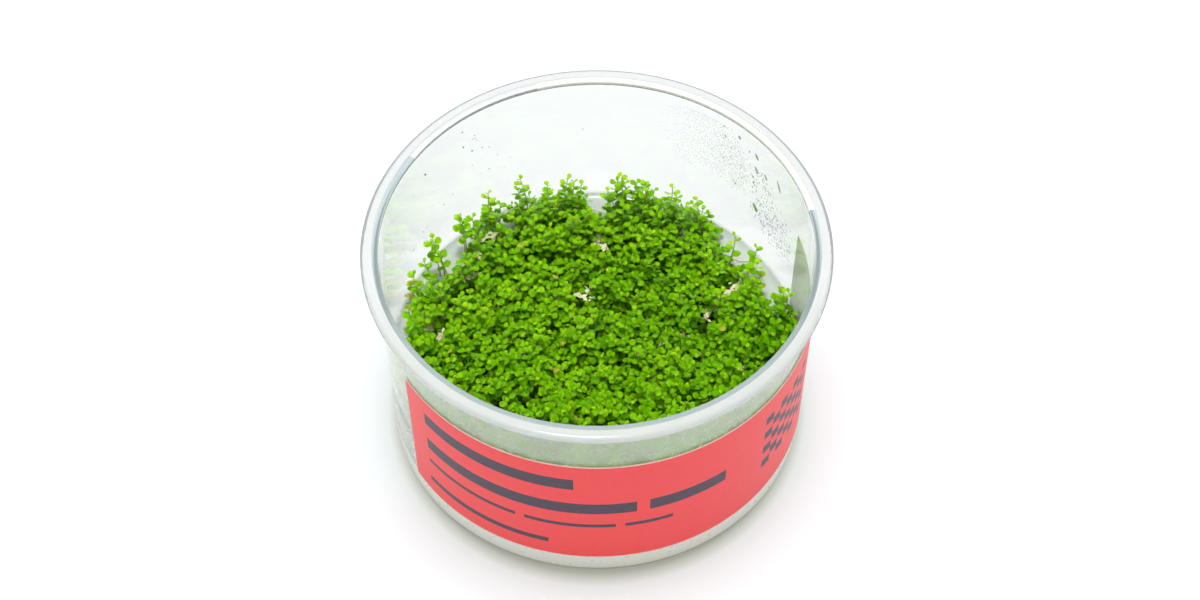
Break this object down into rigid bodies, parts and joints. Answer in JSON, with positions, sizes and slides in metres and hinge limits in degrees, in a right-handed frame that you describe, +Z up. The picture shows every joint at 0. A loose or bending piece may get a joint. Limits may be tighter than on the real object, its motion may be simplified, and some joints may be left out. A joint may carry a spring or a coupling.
{
  "type": "dwarf baby tears in an open culture cup",
  "caption": "Low carpet of tiny round-leaved aquarium plants on nutrient gel, in an open clear round cup with a plain red wrap label.",
  "frame": {"origin": "middle of the cup's underside, at the height that it stands on", "axes": "+Z up out of the cup's mouth, -Y towards the front of the label, +X to the viewer's right"},
  "size_m": [0.1, 0.1, 0.056],
  "materials": {
    "clear_plastic": "clear moulded plastic, glossy",
    "label_paper": "printed red paper, slight gloss",
    "nutrient_gel": "wet translucent gel",
    "leaf_green": "fresh leaves with a waxy gloss"
  },
  "bodies": {
    "root": {"cup": "clear_plastic", "label": "label_paper", "gel": "nutrient_gel", "clump_01": "leaf_green", "clump_02": "leaf_green", "clump_03": "leaf_green", "clump_04": "leaf_green", "clump_05": "leaf_green", "clump_06": "leaf_green", "clump_07": "leaf_green", "clump_08": "leaf_green", "clump_09": "leaf_green", "clump_10": "leaf_green", "clump_11": "leaf_green", "clump_12": "leaf_green", "clump_13": "leaf_green", "clump_14": "leaf_green", "clump_15": "leaf_green", "clump_16": "leaf_green", "clump_17": "leaf_green", "clump_18": "leaf_green"}
  },
  "joints": []
}
